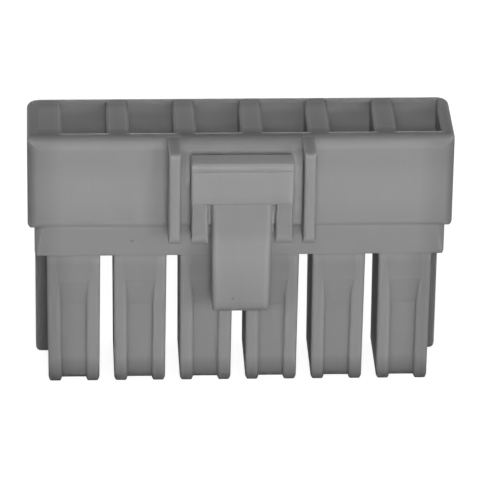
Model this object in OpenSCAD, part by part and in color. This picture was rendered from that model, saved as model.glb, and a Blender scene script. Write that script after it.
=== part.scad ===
// Crimp receptacle housing: one nylon moulding with a row of towers and a rocking latch.
// It stands on its mating face, with the wire entries on top and the latch in front.

/* [Circuits] */
// Number of circuits in the row
circuits = 6; // [2:1:8]
// Distance between neighbouring circuits
pitch = 7.5; // [7.2:0.1:9]

/* [Towers] */
// Length of each tower below the base
tower_len = 16.2; // [14:0.1:22]
// Width of a tower where it leaves the base
tower_root_w = 6.03; // [5.9:0.01:6.3]
// Width of a tower at its tip
tower_tip_w = 5.83; // [5.7:0.01:5.9]
// Depth of a tower from front to back
tower_d = 9.9; // [9.4:0.1:12]
// Width of each of the two front ribs
rib_w = 1.54; // [1.2:0.02:1.8]
// Depth of the groove between the ribs
groove_d = 0.55; // [0.4:0.05:0.7]
// Height above the tip at which the groove starts to run out
groove_full_h = 9.7; // [6:0.1:10.5]
// Length of the ramp where the groove runs out
groove_ramp = 3.2; // [1:0.05:3.5]
// How far the guide fin beside each end tower lies behind the tower's front
fin_set = 7.1; // [6:0.1:8]
// Thickness of a guide fin
fin_d = 0.8; // [0.7:0.05:1.3]
// How far a guide fin stops short of the tower tips
fin_lift = 0.25; // [0.1:0.05:4]

/* [Body] */
// Height of the base that carries the towers
base_h = 3.6; // [3:0.05:6]
// How far the base stands past the end towers
base_end = 1.38; // [1:0.02:2]
// How far the base stands in front of the towers
base_proud = 0.2; // [0.1:0.05:0.4]
// How far the base's front leans forward up to the block
base_lean = 0.5; // [0.1:0.05:0.5]
// Height of the wire block above the base
block_h = 11.3; // [11:0.05:16]
// How far the block stands past the base at each end
block_end = 0.76; // [0.4:0.02:1.2]
// How far the block stands in front of the towers
block_proud = 1.1; // [0.9:0.05:2]
// How far the block stands behind the towers
block_back = 0.2; // [0.1:0.05:0.5]

/* [Wire entries] */
// Width of each wire entry
entry_w = 5.0; // [4.6:0.05:5.4]
// Thickness of the wall in front of the entries
entry_front_wall = 2.0; // [1.7:0.05:2.4]
// Thickness of the wall behind the entries
entry_back_wall = 1.0; // [0.9:0.05:1.4]
// Thickness of the floor under the wide part of an entry
entry_floor = 4; // [3:0.1:5]
// Lead-in chamfer round an entry
entry_lead = 0.3; // [0.1:0.05:0.5]

/* [Terminal cavities] */
// Width of the cavity that holds a terminal
cavity_w = 3.4; // [2.8:0.05:3.45]
// Wall left between the groove and the cavity
cavity_front_wall = 2.1; // [1.5:0.05:2.3]
// Thickness of the closed end of a tower
tip_wall = 1.3; // [1:0.1:2]
// Width of the slot that lets the mating blade in
blade_w = 1.8; // [1.2:0.05:2]
// Depth of that slot from front to back
blade_d = 4.8; // [3:0.1:5]
// Lead-in chamfer round the slot
blade_lead = 0.45; // [0.2:0.05:0.6]
// Height of the shoulder that the terminal locks under
shoulder_h = 11; // [6:0.1:13]
// Depth of the locking pocket into the thick wall
pocket_depth = 0.7; // [0.4:0.05:0.9]
// Width of the locking pocket
pocket_w = 2.2; // [1.2:0.1:3]

/* [Latch] */
// Width of the thumb pad
pad_w = 11.5; // [10.5:0.1:12]
// Height of the thumb pad
pad_h = 4.86; // [4:0.02:6]
// Thickness of the thumb pad
pad_t = 3.1; // [2:0.05:3.2]
// How far the top of the pad lies below the top of the block
pad_drop = 1.5; // [0.8:0.02:2]
// How far the fine step on the pad lies below its top
pad_step = 0.8; // [0.7:0.01:1.5]
// Depth of the fine step on the pad
pad_step_d = 0.15; // [0.1:0.01:0.25]
// How far the latch stands in front of the block
latch_proud = 3.8; // [3.5:0.1:4.8]
// How far the hook arm and the legs lie behind the front of the pad
arm_set = 0.1; // [0.05:0.01:0.25]
// Width of the hook arm under the pad
arm_root_w = 6.84; // [6:0.02:7]
// Width of the hook arm at its tip
arm_tip_w = 6.36; // [5.6:0.02:6.6]
// Thickness of the hook arm
arm_t = 1.7; // [1.2:0.05:1.9]
// How far the hook arm reaches below the base
arm_reach = 5.05; // [3:0.05:6]
// How far the hook stands back from the arm
hook_proud = 1.0; // [0.5:0.05:1.1]
// Height of the hook
hook_h = 2.6; // [2:0.1:3]
// Height of the slope on the underside of the hook
hook_ramp = 1.55; // [1:0.05:1.8]
// How far the outer face of a spring leg lies inside the pad's end
leg_inset = 0.1; // [0.05:0.05:0.4]
// Gap between the hook arm and each spring leg
leg_gap = 0.36; // [0.3:0.01:0.7]
// Thickness of each spring leg
leg_t = 1.2; // [0.8:0.05:1.5]
// Thickness of the web that ties a leg to the block
web_h = 1.8; // [1.75:0.05:2.2]
// Size of the gusset in the corner between a leg and its web
leg_gusset = 0.6; // [0.3:0.05:0.9]

/* [Guards] */
// Thickness of the guard on each side of the latch
guard_t = 1.33; // [1:0.01:1.6]
// Gap between the thumb pad and a guard
guard_gap = 1.1; // [0.6:0.05:1.2]
// How far the top of a guard lies below the top of the block
guard_drop = 0.15; // [0.1:0.05:0.4]
// How far the guards and the legs reach below the block
foot_drop = 0.4; // [0.2:0.05:0.5]

/* [Edges] */
// Radius of the block's upright corners
block_corner_r = 1.4; // [1.25:0.05:1.5]
// Radius of the block's front top edge
block_top_r = 1.35; // [0.8:0.05:1.45]
// Radius of the block's other top edges
block_edge_r = 0.6; // [0.3:0.05:0.6]
// Radius of the block's front lower edge
block_low_r = 1.25; // [0.8:0.05:1.35]
// Radius of the block's other lower edges
block_foot_r = 0.45; // [0.3:0.05:0.6]
// Radius of a tower's front upright edges
tower_r = 0.5; // [0.2:0.05:0.6]
// Radius of the ribs' edges along the groove
rib_r = 0.5; // [0.2:0.05:0.6]
// Radius of a tower's rear upright edges
tower_back_r = 0.9; // [0.3:0.05:1.1]
// Radius of the side and rear edges at a tower's tip
tip_r = 0.6; // [0.3:0.05:0.8]
// Radius of the groove's lower edge
groove_r = 0.8; // [0.5:0.05:1]
// Radius of the guards' front edges
guard_r = 0.45; // [0.2:0.05:0.45]
// Radius of the guards' front top edge
guard_top_r = 0.5; // [0.3:0.05:0.8]
// Radius where a guard or a leg turns under at its lower end
foot_r = 1.65; // [1:0.05:1.7]
// Radius of the thumb pad's top edge
pad_top_r = 0.4; // [0.3:0.05:0.6]
// Radius of the hook arm's front edges
arm_r = 0.7; // [0.3:0.05:0.75]
// Radius of the hook arm's lower front edge
arm_tip_r = 0.9; // [0.4:0.05:1]
// Radius of small edges
small_r = 0.3; // [0.15:0.05:0.35]

/* [Hidden] */
nylon = [0.55, 0.55, 0.55];
$fn = 48;

// Cuts and joins run this far past the faces they meet
over = 1;
// Set-back that keeps a face clear of the one beside it
relief = 0.05;

// Heights, from the tower tips up
base_z = tower_len;
block_z = base_z + base_h;
top_z = block_z + block_h;

// Half widths across the row
row_half = (circuits - 1) * pitch / 2;
base_half = row_half + tower_root_w / 2 + base_end;
block_half = base_half + block_end;

// Depths, with the tower fronts at zero
block_front = -block_proud;
block_rear = tower_d + block_back;
latch_front = block_front - latch_proud;
entry_front = block_front + entry_front_wall;
entry_rear = block_rear - entry_back_wall;
cavity_front = groove_d + cavity_front_wall;
depth_mid = (latch_front + block_rear) / 2;

// Towers taper evenly on both sides
tower_draft = atan((tower_root_w - tower_tip_w) / 2 / tower_len);

// Each entry ends on the plane midway to the next circuit
entry_x1 = pitch / 2;
entry_x0 = entry_x1 - entry_w;
cavity_x1 = entry_x0 + cavity_w;

// Latch places
arm_front = latch_front + arm_set;
arm_z = base_z - arm_reach;
pad_z1 = top_z - pad_drop;
pad_z0 = pad_z1 - pad_h;
pad_step_z = pad_z1 - pad_step;
arm_h = pad_z0 - arm_z;
arm_draft = atan((arm_root_w - arm_tip_w) / 2 / arm_h);
leg_x0 = arm_root_w / 2 + leg_gap;
leg_x1 = pad_w / 2 - leg_inset;
foot_z = block_z - foot_drop;
guard_x = pad_w / 2 + guard_gap;

// Points of one corner, with a flat where the radius goes
function corner(p, u, v, r) = r > 0 ? [p + u * r, p + v * r] : [p];

// Rectangle with a radius for each corner: low left, low right, high right, high left
module soft_rect(a, b, r) {
  c = [a, [b.x, a.y], b, [a.x, b.y]];
  u = [[0, 1], [-1, 0], [0, -1], [1, 0]];
  v = [[1, 0], [0, 1], [-1, 0], [0, -1]];
  polygon([for (i = [0:3]) each corner(c[i], u[i], v[i], r[i])]);
  for (i = [0:3]) {
    if (r[i] > 0) translate(c[i] + (u[i] + v[i]) * r[i]) circle(r[i]);
  }
}

// Extrude a front view, a side view or a plan between two planes
module along_x(x0, x1) {
  translate([x0, 0, 0]) rotate([90, 0, 90]) linear_extrude(x1 - x0) children();
}
module along_y(y0, y1) {
  translate([0, y1, 0]) rotate([90, 0, 0]) linear_extrude(y1 - y0) children();
}
module along_z(z0, z1) {
  translate([0, 0, z0]) linear_extrude(z1 - z0) children();
}

// Put the children at each circuit
module each_circuit() {
  for (i = [0:circuits - 1]) {
    translate([i * pitch - row_half, 0, 0]) children();
  }
}

// Put the children on both sides of the middle
module both_sides() {
  children();
  mirror([1, 0, 0]) children();
}

// Funnel that grows from a rectangle at height z0 by the lead all round at height z1
module lead_in(x0, x1, y0, y1, z0, z1, lead) {
  intersection() {
    along_y(y0 - lead, y1 + lead) {
      polygon([[x0, z0], [x1, z0], [x1 + lead, z1], [x0 - lead, z1]]);
    }
    along_x(x0 - lead, x1 + lead) {
      polygon([[y0, z0], [y1, z0], [y1 + lead, z1], [y0 - lead, z1]]);
    }
  }
}

// Right half of a tower with upright sides: the core and one front rib
module tower_half() {
  half = tower_tip_w / 2;
  z1 = base_z + over;
  intersection() {
    along_z(0, z1) soft_rect([-over, groove_d], [half, tower_d], [0, 0, tower_back_r, 0]);
    along_y(0, tower_d) soft_rect([-over, 0], [half, z1], [0, tip_r, 0, 0]);
    along_x(-over, half) soft_rect([groove_d, 0], [tower_d, z1], [groove_r, 0, 0, 0]);
  }
  intersection() {
    along_z(0, z1) soft_rect([half - rib_w, 0], [half, cavity_front], [rib_r, tower_r, 0, 0]);
    along_y(0, tower_d) soft_rect([half - rib_w, 0], [half, z1], [tower_r, tip_r, 0, 0]);
  }
}

// Front panel between the ribs, with the ramp at which the groove runs out
module tower_panel() {
  half = tower_tip_w / 2 - rib_w + rib_r + relief;
  front = relief / 2;
  z1 = base_z + over;
  along_x(-half, half) {
    polygon([
      [front, z1], [front, groove_full_h + groove_ramp],
      [groove_d, groove_full_h], [cavity_front, groove_full_h], [cavity_front, z1]
    ]);
  }
}

// One tower with its tapered sides and rounded tip
module tower() {
  half = tower_root_w / 2 + over;
  intersection() {
    union() {
      both_sides() {
        intersection() {
          rotate([0, tower_draft, 0]) tower_half();
          translate([0, -over, 0]) cube([half, tower_d + 2 * over, base_z + over]);
        }
      }
      tower_panel();
    }
    along_x(-half, half) {
      soft_rect([0, 0], [tower_d, base_z + over], [small_r, tip_r, 0, 0]);
    }
  }
}

// Fin that stands beside the back of an end tower
module end_fin() {
  x1 = base_half - relief;
  x0 = row_half;
  intersection() {
    along_z(fin_lift, base_z + over) {
      soft_rect([x0, fin_set], [x1, fin_set + fin_d], [0, small_r, small_r, 0]);
    }
    along_y(0, tower_d) soft_rect([x0, fin_lift], [x1, base_z + over], [0, tip_r, 0, 0]);
  }
}

// Base that carries the towers
module base() {
  z1 = block_z + block_foot_r + over;
  front = -base_proud - base_lean;
  intersection() {
    along_z(base_z, z1) {
      soft_rect([-base_half, front], [base_half, tower_d], block_corner_r * [1, 1, 1, 1]);
    }
    along_y(front, tower_d) {
      soft_rect([-base_half, base_z], [base_half, z1], [small_r, small_r, 0, 0]);
    }
    along_x(-base_half - over, base_half + over) {
      polygon([
        [relief - base_proud, base_z], [tower_d, base_z], [tower_d, z1],
        [front, z1], [front, block_z], [-base_proud, base_z + relief]
      ]);
    }
  }
}

// Box with rounded upright corners and with rounded edges below and above
module soft_box(a, b, r, r0, r1) {
  along_x(a.x + r, b.x - r) soft_rect([a.y, a.z], [b.y, b.z], [r0, r0, r1, r1]);
  along_y(a.y + r, b.y - r) soft_rect([a.x, a.z], [b.x, b.z], [r0, r0, r1, r1]);
  for (x = [a.x + r, b.x - r], y = [a.y + r, b.y - r]) {
    translate([x, y, 0]) rotate_extrude() soft_rect([0, a.z], [r, b.z], [0, r0, r1, 0]);
  }
}

// Wire block, with larger radii along its front
module wire_block() {
  intersection() {
    soft_box([-block_half, block_front, block_z], [block_half, block_rear, top_z],
      block_corner_r, block_foot_r, block_edge_r);
    along_x(-block_half - over, block_half + over) {
      soft_rect([block_front, block_z], [block_rear + over, top_z], [block_low_r, 0, 0, block_top_r]);
    }
  }
}

// Opening for a wire, the terminal cavity below it and the slot for the mating blade
module circuit_hollow() {
  blade_x = (entry_x0 + cavity_x1) / 2;
  blade_y = (cavity_front + entry_rear) / 2;
  floor_z = base_z + entry_floor;
  translate([entry_x0, entry_front, floor_z]) {
    cube([entry_w, entry_rear - entry_front, top_z - floor_z + over]);
  }
  lead_in(entry_x0, entry_x1, entry_front, entry_rear, top_z - entry_lead, top_z, entry_lead);
  translate([entry_x0, cavity_front, tip_wall]) {
    cube([cavity_w, entry_rear - cavity_front, floor_z - tip_wall + over]);
  }
  translate([blade_x - blade_w / 2, blade_y - blade_d / 2, -over]) {
    cube([blade_w, blade_d, tip_wall + 2 * over]);
  }
  lead_in(blade_x - blade_w / 2, blade_x + blade_w / 2, blade_y - blade_d / 2,
    blade_y + blade_d / 2, blade_lead, 0, blade_lead);
  translate([entry_x0 - pocket_depth, blade_y - pocket_w / 2, -over]) {
    cube([pocket_depth + cavity_w / 2, pocket_w, shoulder_h + over]);
  }
}

// Guard that keeps wires from catching on the latch
module guard() {
  join_y = block_front + entry_front_wall / 2;
  z1 = top_z - guard_drop;
  intersection() {
    along_x(guard_x, guard_x + guard_t) {
      soft_rect([latch_front, foot_z], [join_y, z1], [foot_r, 0, 0, guard_top_r]);
    }
    along_z(foot_z, z1) {
      soft_rect([guard_x, latch_front], [guard_x + guard_t, join_y], [guard_r, guard_r, 0, 0]);
    }
  }
}

// Thumb pad, with a fine step along its upper edge
module thumb_pad() {
  half = pad_w / 2;
  rear = latch_front + pad_t;
  intersection() {
    along_x(-half, half) {
      soft_rect([latch_front, pad_z0], [rear, pad_step_z], [small_r, small_r, 0, relief]);
      soft_rect([latch_front + pad_step_d, pad_z0 + small_r], [rear, pad_z1],
        [0, 0, small_r, pad_top_r]);
    }
    along_z(pad_z0, pad_z1) {
      soft_rect([-half, latch_front], [half, rear], [tower_r, tower_r, small_r, small_r]);
    }
    along_y(latch_front, rear) {
      soft_rect([-half, pad_z0], [half, pad_z1], small_r * [0, 0, 1, 1]);
    }
  }
}

// Arm that hangs from the pad, with the hook on its back
module hook_arm() {
  rear = arm_front + arm_t;
  half = arm_tip_w / 2;
  both_sides() {
    intersection() {
      translate([0, 0, arm_z]) rotate([0, arm_draft, 0]) along_z(-over, arm_h + over) {
        soft_rect([-over, arm_front], [half, rear + hook_proud], [0, arm_r, 0, 0]);
      }
      along_x(0, arm_root_w) {
        soft_rect([arm_front, arm_z], [rear, pad_z0 + over], [arm_tip_r, 0, 0, 0]);
        polygon([
          [rear - relief, arm_z + small_r], [rear, arm_z + small_r],
          [rear + hook_proud, arm_z + hook_ramp], [rear + hook_proud, arm_z + hook_h],
          [rear - relief, arm_z + hook_h]
        ]);
      }
      along_y(arm_front - over, rear + hook_proud + over) {
        polygon([
          [0, arm_z], [half - small_r, arm_z], [half + over, arm_z + small_r + over],
          [half + over, pad_z0 + over], [0, pad_z0 + over]
        ]);
      }
    }
  }
}

// Spring leg that ties the pad to the block at its foot
module spring_leg() {
  rear = arm_front + leg_t;
  join_y = block_front + entry_front_wall / 2;
  web_z = foot_z + web_h;
  intersection() {
    along_x(leg_x0, leg_x1) {
      soft_rect([arm_front, foot_z], [join_y, web_z], [foot_r, 0, 0, 0]);
      translate([arm_front, foot_z + foot_r]) square([leg_t, pad_z0 + over - foot_z - foot_r]);
      polygon([
        [rear - relief, web_z - relief], [rear + leg_gusset, web_z - relief],
        [rear + leg_gusset, web_z], [rear, web_z + leg_gusset], [rear - relief, web_z + leg_gusset]
      ]);
    }
    along_z(foot_z, pad_z0 + over) {
      soft_rect([leg_x0, arm_front], [leg_x1, join_y], [small_r, small_r, 0, 0]);
    }
  }
}

module housing() {
  color(nylon) translate([0, -depth_mid, 0]) {
    difference() {
      union() {
        each_circuit() tower();
        base();
        wire_block();
        both_sides() {
          end_fin();
          guard();
          spring_leg();
        }
        thumb_pad();
        hook_arm();
      }
      each_circuit() circuit_hollow();
    }
  }
}

housing();
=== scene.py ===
import math
import bpy
from mathutils import Matrix, Vector


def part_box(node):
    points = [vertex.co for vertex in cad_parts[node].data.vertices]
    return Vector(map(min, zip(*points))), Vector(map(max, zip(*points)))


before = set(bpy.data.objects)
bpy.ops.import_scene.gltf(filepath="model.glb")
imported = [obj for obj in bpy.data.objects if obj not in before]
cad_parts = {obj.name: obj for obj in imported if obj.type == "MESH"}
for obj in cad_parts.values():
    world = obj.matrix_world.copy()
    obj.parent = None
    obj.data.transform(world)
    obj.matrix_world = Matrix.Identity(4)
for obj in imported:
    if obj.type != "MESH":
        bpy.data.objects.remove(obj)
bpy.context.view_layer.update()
mm = 0.001
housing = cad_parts["housing"]
low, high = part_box("housing")
print("housing loaded, size in mm:", [round((high[i] - low[i]) / mm, 2) for i in range(3)])


# Camera: a long lens in front of the housing, above it and slightly to its left

cameraSet = {
    "aim": Vector((0.374, 4.630, 14.301)) * mm,
    "distance": 514.86 * mm,
    "down": math.radians(26.85),
    "turn": math.radians(2.863),
    "roll": math.radians(0.853),
    "lens": 336.95,
    "sensor": 36.0,
}


def makeCamera(s):
    turned = Matrix.Rotation(-s["turn"], 4, "Z")
    tilted = Matrix.Rotation(math.pi / 2 - s["down"], 4, "X")
    rolled = Matrix.Rotation(s["roll"], 4, "Z")
    aimed = turned @ tilted @ rolled
    data = bpy.data.cameras.new("photoCamera")
    data.lens = s["lens"]
    data.sensor_width = s["sensor"]
    camera = bpy.data.objects.new("photoCamera", data)
    bpy.context.scene.collection.objects.link(camera)
    back = aimed.to_3x3() @ Vector((0, 0, 1))
    camera.matrix_world = Matrix.Translation(s["aim"] + back * s["distance"]) @ aimed
    bpy.context.scene.camera = camera


makeCamera(cameraSet)
print("camera placed")


# Node helpers: a value may be a plain number or another node's output

def feed(tree, socket, value):
    if isinstance(value, bpy.types.NodeSocket):
        tree.links.new(value, socket)
    else:
        socket.default_value = value


def mathStep(tree, operation, *values):
    node = tree.nodes.new("ShaderNodeMath")
    node.operation = operation
    for socket, value in zip(node.inputs, values):
        feed(tree, socket, value)
    return node.outputs[0]


def vectorStep(tree, operation, *values):
    node = tree.nodes.new("ShaderNodeVectorMath")
    node.operation = operation
    for socket, value in zip(node.inputs, values):
        feed(tree, socket, value)
    return node.outputs["Value" if operation == "DISTANCE" else "Vector"]


def spreadOver(tree, value, fromLow, fromHigh, toLow, toHigh):
    node = tree.nodes.new("ShaderNodeMapRange")
    for socket, number in zip(node.inputs, (value, fromLow, fromHigh, toLow, toHigh)):
        feed(tree, socket, number)
    return node.outputs[0]


# Studio: lamps at the front, the sides and the back, a dim room and a floor that shows white

roomSet = {
    "light": 0.22,  # what the room gives the housing
    "seen": 1.0,    # how bright it looks itself
}

# Lamps by the degrees they stand round from the front to the right, and up; metres and watts
lampSet = {
    "lowLamp": {"around": 2, "up": 7, "away": 0.3, "size": 0.08, "power": 0.46},
    "eyeLamp": {"around": -3, "up": 27, "away": 0.3, "size": 0.06, "power": 0.26},
    "rightLamp": {"around": 30, "up": 12, "away": 0.5, "size": 0.2, "power": 0.63},
    "leftLamp": {"around": -75, "up": 12, "away": 0.5, "size": 0.2, "power": 0.2},
    "leftSideLamp": {"around": -125, "up": 4, "away": 0.5, "size": 0.08, "power": 0.5},
    "rightSideLamp": {"around": 125, "up": 4, "away": 0.5, "size": 0.08, "power": 0.5},
    "backLamp": {"around": 180, "up": 4, "away": 0.5, "size": 0.08, "power": 1.1},
}

floorSet = {
    "size": 6.0,
    "bounce": 0.2,     # grey that throws light back at the housing
    "shade": 0.3,      # grey that carries the shadow in the picture
    "nearGlow": 0.88,  # the floor's own light close to the housing, low enough for the shadow to show
    "farGlow": 1.0,
    "near": 30 * mm,
    "far": 75 * mm,
}


def makeLamp(name, s):
    around = math.radians(s["around"])
    up = math.radians(s["up"])
    target = (low + high) / 2
    toLamp = Vector((math.sin(around) * math.cos(up), -math.cos(around) * math.cos(up), math.sin(up)))
    data = bpy.data.lights.new(name, "AREA")
    data.shape = "DISK"
    data.size = s["size"]
    data.energy = s["power"]
    lamp = bpy.data.objects.new(name, data)
    bpy.context.scene.collection.objects.link(lamp)
    lamp.location = target + toLamp * s["away"]
    lamp.rotation_euler = toLamp.to_track_quat("Z", "Y").to_euler()


def seenDirectly(tree):
    path = tree.nodes.new("ShaderNodeLightPath")
    either = mathStep(tree, "MAXIMUM", path.outputs["Is Camera Ray"], path.outputs["Is Glossy Ray"])
    return mathStep(tree, "MAXIMUM", either, path.outputs["Is Transmission Ray"])


def makeRoom(s):
    world = bpy.data.worlds.new("paleRoom")
    world.use_nodes = True
    tree = world.node_tree
    tree.nodes.clear()
    mix = tree.nodes.new("ShaderNodeMixShader")
    out = tree.nodes.new("ShaderNodeOutputWorld")
    feed(tree, mix.inputs[0], seenDirectly(tree))
    for socket, level in zip(mix.inputs[1:3], (s["light"], s["seen"])):
        light = tree.nodes.new("ShaderNodeBackground")
        light.inputs["Color"].default_value = (1, 1, 1, 1)
        light.inputs["Strength"].default_value = level
        feed(tree, socket, light.outputs[0])
    feed(tree, out.inputs[0], mix.outputs[0])
    bpy.context.scene.world = world


def plainDiffuse(tree, grey):
    node = tree.nodes.new("ShaderNodeBsdfDiffuse")
    node.inputs["Color"].default_value = (grey, grey, grey, 1)
    return node.outputs[0]


def makeFloor(s):
    bpy.ops.object.select_all(action="DESELECT")
    bpy.ops.mesh.primitive_plane_add(size=s["size"], location=(0, 0, low.z))
    floor = bpy.context.object
    floor.name = "paleFloor"
    material = bpy.data.materials.new("paleFloor")
    material.use_nodes = True
    tree = material.node_tree
    tree.nodes.clear()
    place = tree.nodes.new("ShaderNodeTexCoord").outputs["Object"]
    fromMiddle = vectorStep(tree, "DISTANCE", place, (0, 0, 0))
    glow = tree.nodes.new("ShaderNodeEmission")
    feed(tree, glow.inputs["Strength"],
         spreadOver(tree, fromMiddle, s["near"], s["far"], s["nearGlow"], s["farGlow"]))
    both = tree.nodes.new("ShaderNodeAddShader")
    feed(tree, both.inputs[0], plainDiffuse(tree, s["shade"]))
    feed(tree, both.inputs[1], glow.outputs[0])
    mix = tree.nodes.new("ShaderNodeMixShader")
    feed(tree, mix.inputs[0], seenDirectly(tree))
    feed(tree, mix.inputs[1], plainDiffuse(tree, s["bounce"]))
    feed(tree, mix.inputs[2], both.outputs[0])
    out = tree.nodes.new("ShaderNodeOutputMaterial")
    feed(tree, out.inputs[0], mix.outputs[0])
    floor.data.materials.append(material)


for lampName, lampValues in lampSet.items():
    makeLamp(lampName, lampValues)
makeRoom(roomSet)
makeFloor(floorSet)
bpy.context.scene.view_settings.view_transform = "Standard"
print("studio lit with", len(lampSet), "lamps")


# Nylon as it comes from the mould: a little translucent, satin, with faint marks of the moulding, and
# painted light and shade by place in its colour

nylonSet = {
    "color": (0.28, 0.28, 0.28),
    "specular": 0.08,
    "scatterDepth": 3 * mm,
    "roughness": (0.6, 0.7),  # where the grain is low and where it is high
    "grainDepth": 0.012 * mm,
    "grainStrength": 0.25,
}

# Uneven colour, each as noise with so many lumps in a millimetre along X, Y and Z
unevenSet = {
    "mottle": {"perMm": (0.3, 0.3, 0.3), "detail": 3, "spread": 0.03},
    "dragLines": {"perMm": (2.5, 2.5, 0.1), "detail": 2, "spread": 0.02},
    "grain": {"perMm": (7, 7, 7), "detail": 2, "spread": 0.02},
}

# Painted light and shade by place, as the photo shows it: lighter in recesses and gaps, darker on tops,
# rims, ends, tips and fins; the colour is multiplied by it.
# Boxes in mm with soft sides, where X is counted from the middle both ways.
# A side that lies past the housing leaves its box open there
paintedLightAndShade = {
    # the wire entries and the top face
    "wireEntries": {"from": (-1, -1.9, 5), "to": (22.7, 6.8, 31), "soft": (0.1, 0.1, 4), "tone": 1.15},
    "entryBacks": {"from": (-1, 4.4, 28.5), "to": (22.7, 6.9, 34), "soft": (0.1, 1.6, 1.5), "tone": 0.72},
    "entryFronts": {"from": (-1, -2.6, 30), "to": (22.7, -0.7, 34), "soft": (0.1, 0.6, 0.5), "tone": 0.75},
    "top": {"from": (-1, -2.9, 27), "to": (22.7, 6.8, 34), "soft": (0.1, 0.8, 3.5), "tone": 0.78},
    "topEnds": {"from": (22.6, -2.9, 30.5), "to": (30, 6.8, 34), "soft": (0.1, 0.8, 0.5), "tone": 0.7},
    "topFront": {"from": (-1, -20, 30.7), "to": (30, 6.5, 34), "soft": (0.1, 7, 0.3), "tone": 0.84},
    "rearRim": {"from": (-1, 6.0, 29.9), "to": (30, 9, 34), "soft": (0.1, 0.6, 0.9), "tone": 0.62},
    # the front of the wire block
    "blockEnds": {"from": (20, -4.5, 15.8), "to": (30, -1.6, 30.8), "soft": (3.9, 0.8, 0.6), "tone": 0.72},
    "blockCorners": {"from": (22.9, -4.5, 15.8), "to": (30, -1.6, 30.8),
                     "soft": (0.8, 0.8, 0.6), "tone": 0.78},
    "blockFoot": {"from": (7.5, -4.5, 15), "to": (30, -3.4, 23.6), "soft": (0.1, 0.1, 3.5), "tone": 0.9},
    "blockTopEdge": {"from": (-1, -4, 26), "to": (30, -1.8, 34), "soft": (0.1, 0.2, 2), "tone": 0.94},
    "blockTopRim": {"from": (-1, -4, 30), "to": (30, -1.5, 34), "soft": (0.1, 0.8, 0.9), "tone": 0.87},
    "overPad": {"from": (-1, -4.2, 27.5), "to": (6.9, -1.8, 34), "soft": (0.1, 0.1, 2), "tone": 0.8},
    # the latch, its guards and the recess behind it
    "guards": {"from": (6.7, -9, 17), "to": (8.3, -3.9, 34), "soft": (0.1, 0.1, 1), "tone": 0.88},
    "latchRecess": {"from": (-1, -3.9, 19), "to": (7.2, -3.5, 31), "soft": (0.2, 0.1, 4), "tone": 1.22},
    "behindLegs": {"from": (-1, -3.9, 18), "to": (5, -3.5, 28), "soft": (0.8, 0.1, 3), "tone": 1.8},
    "behindPad": {"from": (-1, -4.6, 25), "to": (6.3, -3.5, 30), "soft": (0.5, 0.1, 1), "tone": 1.5},
    "legs": {"from": (3.6, -9, 17), "to": (5.9, -5.9, 25), "soft": (0.1, 0.1, 0.4), "tone": 0.93},
    "legGaps": {"from": (3.3, -7, 19), "to": (3.85, -3, 25), "soft": (0.05, 0.1, 0.5), "tone": 1.4},
    "padTop": {"from": (-1, -7.2, 29.2), "to": (6, -4.1, 29.9), "soft": (0.1, 0.2, 0.3), "tone": 1.35},
    "padBrow": {"from": (-1, -9, 28.7), "to": (6, -6.9, 29.8), "soft": (0.1, 0.2, 0.15), "tone": 0.97},
    "padFoot": {"from": (-1, -9, 20), "to": (6, -4.1, 26), "soft": (0.1, 0.1, 1.3), "tone": 0.9},
    "armEnd": {"from": (-1, -9, 5), "to": (3.7, -5, 18), "soft": (0.1, 0.1, 6), "tone": 0.84},
    "armLip": {"from": (-1, -9, 5), "to": (3.7, -5, 12.6), "soft": (0.1, 0.1, 1), "tone": 0.8},
    # the base and the towers
    "base": {"from": (-1, -3.6, 15.6), "to": (30, 9, 20.5), "soft": (0.1, 0.1, 0.9), "tone": 0.92},
    "towers": {"from": (-1, -3.6, -2), "to": (30, 9, 16.3), "soft": (0.1, 0.1, 1.5), "tone": 0.85},
    "behindArm": {"from": (-1, -3, 8.5), "to": (7.5, -1.9, 17.5), "soft": (2.5, 0.1, 2), "tone": 0.88},
    "towerTips": {"from": (-1, -3.6, -5), "to": (30, -0.5, 3), "soft": (0.1, 0.5, 3), "tone": 0.42},
    "tipEdges": {"from": (-1, -3.6, -5), "to": (30, -1.5, 1), "soft": (0.1, 0.3, 0.8), "tone": 0.75},
    "rowEnds": {"from": (18.5, -3.6, -2), "to": (30, -1.5, 16.4), "soft": (3, 0.3, 0.2), "tone": 0.8},
    "guideFins": {"from": (21.7, -3.6, -2), "to": (30, 4.8, 16.4), "soft": (0.1, 0.2, 0.2), "tone": 0.4},
}

# The same painted light, lighter in the right recess and leg gap, with X as it is, for the right half
# alone
rightPaintedLightAndShade = {
    "rightRecess": {"from": (5.4, -3.9, 17), "to": (7, -3.4, 31), "soft": (0.3, 0.1, 2), "tone": 1.15},
    "rightLegGap": {"from": (3.3, -7, 19), "to": (3.85, -3, 25), "soft": (0.05, 0.1, 0.5), "tone": 1.5},
}

# Painted shade on the towers' sides along the slits, which lie in shade, in the right half alone; X is
# counted from a slit
paintedSlitShade = {
    "pitch": 7.5,
    "from": (-1, -2.35, -2),
    "to": (0.98, 9, 16.4),
    "soft": (0.1, 0.25, 0.2),
    "tone": 0.6,
    "rightHalf": {"from": (-0.5, -3.6, -2), "to": (20, 9, 17), "soft": (0.5, 0.1, 0.1)},
}

# Specks of dust moulded in, each with its place and radius in mm
speckSet = {
    "tone": 0.75,
    "core": 0.5,  # share of the radius with the full tone
    "specks": [((-12.2, -3.05, 18.2), 0.24), ((-0.95, -7.4, 13.0), 0.22)],
}


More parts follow.
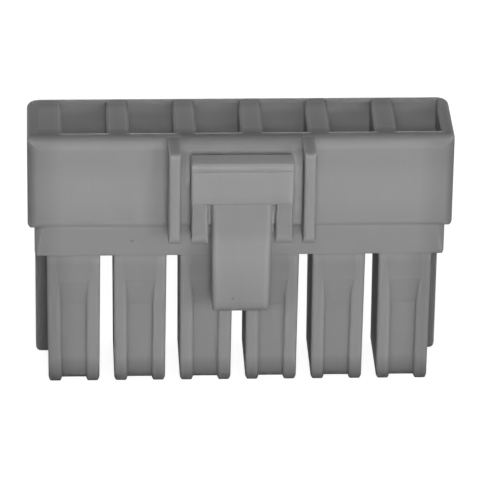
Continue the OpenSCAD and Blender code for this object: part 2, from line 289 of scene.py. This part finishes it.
# 1 inside the box, falling to 0 at its sides
def boxMask(tree, place, s):
    above = vectorStep(tree, "DIVIDE", vectorStep(tree, "SUBTRACT", place, s["from"]), s["soft"])
    below = vectorStep(tree, "DIVIDE", vectorStep(tree, "SUBTRACT", s["to"], place), s["soft"])
    inside = vectorStep(tree, "MINIMUM", vectorStep(tree, "MINIMUM", above, below), (1, 1, 1))
    split = tree.nodes.new("ShaderNodeSeparateXYZ")
    feed(tree, split.inputs[0], vectorStep(tree, "MAXIMUM", inside, (0, 0, 0)))
    across = mathStep(tree, "MULTIPLY", split.outputs["X"], split.outputs["Y"])
    return mathStep(tree, "MULTIPLY", across, split.outputs["Z"])


def unevenMask(tree, place, s):
    noise = tree.nodes.new("ShaderNodeTexNoise")
    noise.inputs["Scale"].default_value = 1
    noise.inputs["Detail"].default_value = s["detail"]
    feed(tree, noise.inputs["Vector"], vectorStep(tree, "MULTIPLY", place, s["perMm"]))
    return noise.outputs["Fac"]


# The same place with its X put through one step
def withX(tree, place, operation, *values):
    split = tree.nodes.new("ShaderNodeSeparateXYZ")
    feed(tree, split.inputs[0], place)
    joined = tree.nodes.new("ShaderNodeCombineXYZ")
    feed(tree, joined.inputs["X"], mathStep(tree, operation, split.outputs["X"], *values))
    feed(tree, joined.inputs["Y"], split.outputs["Y"])
    feed(tree, joined.inputs["Z"], split.outputs["Z"])
    return joined.outputs[0]


def toneWhere(tree, mask, tone):
    return mathStep(tree, "MULTIPLY_ADD", mask, tone - 1, 1)


def makeNylon(s):
    material = bpy.data.materials.new("greyNylon")
    material.use_nodes = True
    tree = material.node_tree
    shader = tree.nodes["Principled BSDF"]
    shader.inputs["Specular IOR Level"].default_value = s["specular"]
    shader.inputs["Subsurface Weight"].default_value = 1
    shader.inputs["Subsurface Radius"].default_value = (1, 1, 1)
    shader.inputs["Subsurface Scale"].default_value = s["scatterDepth"]

    inMetres = tree.nodes.new("ShaderNodeTexCoord").outputs["Object"]
    place = vectorStep(tree, "DIVIDE", inMetres, (mm, mm, mm))
    fromMiddle = withX(tree, place, "ABSOLUTE")
    fromSlit = withX(tree, place, "PINGPONG", paintedSlitShade["pitch"] / 2)

    # Painted light and shade by place, then the painted slit shade, uneven colour and specks of dust, all
    # multiplied into the colour
    tones = []
    for where, zones in ((fromMiddle, paintedLightAndShade), (place, rightPaintedLightAndShade)):
        for zone in zones.values():
            tones.append(toneWhere(tree, boxMask(tree, where, zone), zone["tone"]))
    inHalf = boxMask(tree, place, paintedSlitShade["rightHalf"])
    inSlits = mathStep(tree, "MULTIPLY", boxMask(tree, fromSlit, paintedSlitShade), inHalf)
    tones.append(toneWhere(tree, inSlits, paintedSlitShade["tone"]))
    masks = {}
    for name, uneven in unevenSet.items():
        masks[name] = unevenMask(tree, place, uneven)
        tones.append(spreadOver(tree, masks[name], 0, 1, 1 - uneven["spread"], 1 + uneven["spread"]))
    for speckPlace, radius in speckSet["specks"]:
        away = vectorStep(tree, "DISTANCE", place, speckPlace)
        tones.append(spreadOver(tree, away, radius * speckSet["core"], radius, speckSet["tone"], 1))

    tone = tones[0]
    for other in tones[1:]:
        tone = mathStep(tree, "MULTIPLY", tone, other)
    tinted = tree.nodes.new("ShaderNodeVectorMath")
    tinted.operation = "SCALE"
    tinted.inputs[0].default_value = s["color"]
    feed(tree, tinted.inputs["Scale"], tone)
    feed(tree, shader.inputs["Base Color"], tinted.outputs[0])

    feed(tree, shader.inputs["Roughness"], spreadOver(tree, masks["grain"], 0, 1, *s["roughness"]))
    bump = tree.nodes.new("ShaderNodeBump")
    bump.inputs["Strength"].default_value = s["grainStrength"]
    bump.inputs["Distance"].default_value = s["grainDepth"]
    feed(tree, bump.inputs["Height"], mathStep(tree, "ADD", masks["grain"], masks["dragLines"]))
    feed(tree, shader.inputs["Normal"], bump.outputs[0])
    return material


nylon = makeNylon(nylonSet)
for materialSlot in housing.material_slots:
    materialSlot.material = nylon
print("nylon given to the housing, with", len(paintedLightAndShade) + len(rightPaintedLightAndShade), "tones by place")
